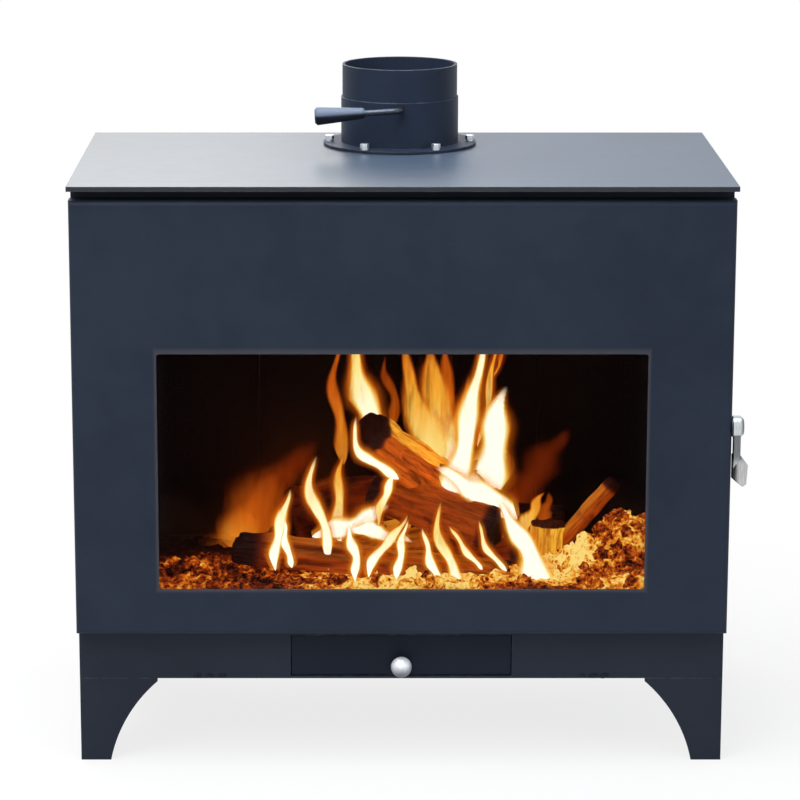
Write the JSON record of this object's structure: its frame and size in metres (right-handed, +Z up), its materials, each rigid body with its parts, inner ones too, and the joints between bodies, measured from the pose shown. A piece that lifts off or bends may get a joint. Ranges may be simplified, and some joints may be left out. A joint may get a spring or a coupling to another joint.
{
  "type": "wood stove",
  "caption": "Free-standing steel wood stove on folded legs: wide glazed door with a side latch, ash drawer below, flanged flue collar with a cranked damper on top.",
  "frame": {"origin": "on the floor, under the middle of the top plate", "axes": "+X to the right seen from the front, +Y to the back, +Z up along the flue"},
  "size_m": [0.8189, 0.45, 0.8301],
  "materials": {
    "body_paint": "satin dark blue-grey stove paint",
    "door_paint": "satin dark blue-grey stove paint",
    "drawer_paint": "satin dark blue-grey stove paint",
    "top_paint": "smooth satin stove paint",
    "collar_paint": "satin dark blue-grey stove paint",
    "zinc_steel": "zinc plated",
    "bare_steel": "bare drawn steel",
    "plate_steel": "mill-finish plate",
    "polished_steel": "polished",
    "boss_steel": "turned, bright",
    "handle_steel": "satin",
    "grip_plastic": "moulded, dark, semi-gloss",
    "grate_iron": "as cast",
    "fire_brick": "matt, porous",
    "door_glass": "clear heat-resistant glass",
    "glass_fibre": "woven glass fibre"
  },
  "bodies": {
    "stove": {"top_plate": "top_paint", "front_frame": "body_paint", "seal_lip": "body_paint", "left_side_panel": "body_paint", "right_side_panel": "body_paint", "rear_panel": "body_paint", "hearth_plate": "body_paint", "plinth_apron": "body_paint", "plinth_left_side": "body_paint", "plinth_right_side": "body_paint", "plinth_rear": "body_paint", "plinth_floor": "body_paint", "front_left_leg": "body_paint", "front_right_leg": "body_paint", "rear_left_leg": "body_paint", "rear_right_leg": "body_paint", "leg_bolts": "zinc_steel", "leg_nuts": "zinc_steel", "grate": "grate_iron", "floor_bricks": "fire_brick", "rear_bricks": "fire_brick", "left_bricks": "fire_brick", "right_bricks": "fire_brick", "brick_retainers": "body_paint", "baffle_plate": "plate_steel", "baffle_rails": "body_paint", "drawer_runners": "body_paint", "flue_collar": "collar_paint", "collar_gasket": "glass_fibre", "collar_bolts": "zinc_steel", "collar_washers": "zinc_steel", "collar_nuts": "zinc_steel", "frame_hinges": "body_paint", "hinge_pins": "bare_steel", "latch_keeper": "bare_steel"},
    "door": {"door_panel": "door_paint", "door_glass": "door_glass", "glass_tape": "glass_fibre", "glass_bars": "bare_steel", "glass_studs": "zinc_steel", "glass_nuts": "zinc_steel", "rope_channel": "body_paint", "door_rope": "glass_fibre", "door_hinges": "body_paint", "latch_bush": "bare_steel"},
    "handle": {"latch_shaft": "bare_steel", "latch_hook": "bare_steel", "latch_nut": "zinc_steel", "handle_boss": "boss_steel", "handle_lever": "handle_steel"},
    "ash_drawer": {"ash_tray": "plate_steel", "drawer_front": "drawer_paint", "drawer_knob": "polished_steel", "knob_screw": "zinc_steel"},
    "damper": {"damper_plate": "plate_steel", "damper_spindle": "bare_steel", "damper_grip": "grip_plastic", "damper_screws": "zinc_steel", "damper_clip": "zinc_steel"}
  },
  "joints": [
    {"name": "door_hinge", "type": "hinge", "parent": "stove", "child": "door", "pos_m": [-0.3925, -0.201, 0.424], "axis": [0, 0, -1], "range_deg": [0, 105]},
    {"name": "latch_turn", "type": "hinge", "parent": "door", "child": "handle", "pos_m": [0.4, -0.208, 0.43], "axis": [-1, 0, 0], "range_deg": [-25, 75]},
    {"name": "drawer_slide", "type": "slide", "parent": "stove", "child": "ash_drawer", "axis": [0, -1, 0], "range_m": [0, 0.3]},
    {"name": "damper_turn", "type": "hinge", "parent": "stove", "child": "damper", "pos_m": [0, 0.122, 0.7816], "axis": [0, 1, 0], "range_deg": [0, 90]}
  ]
}
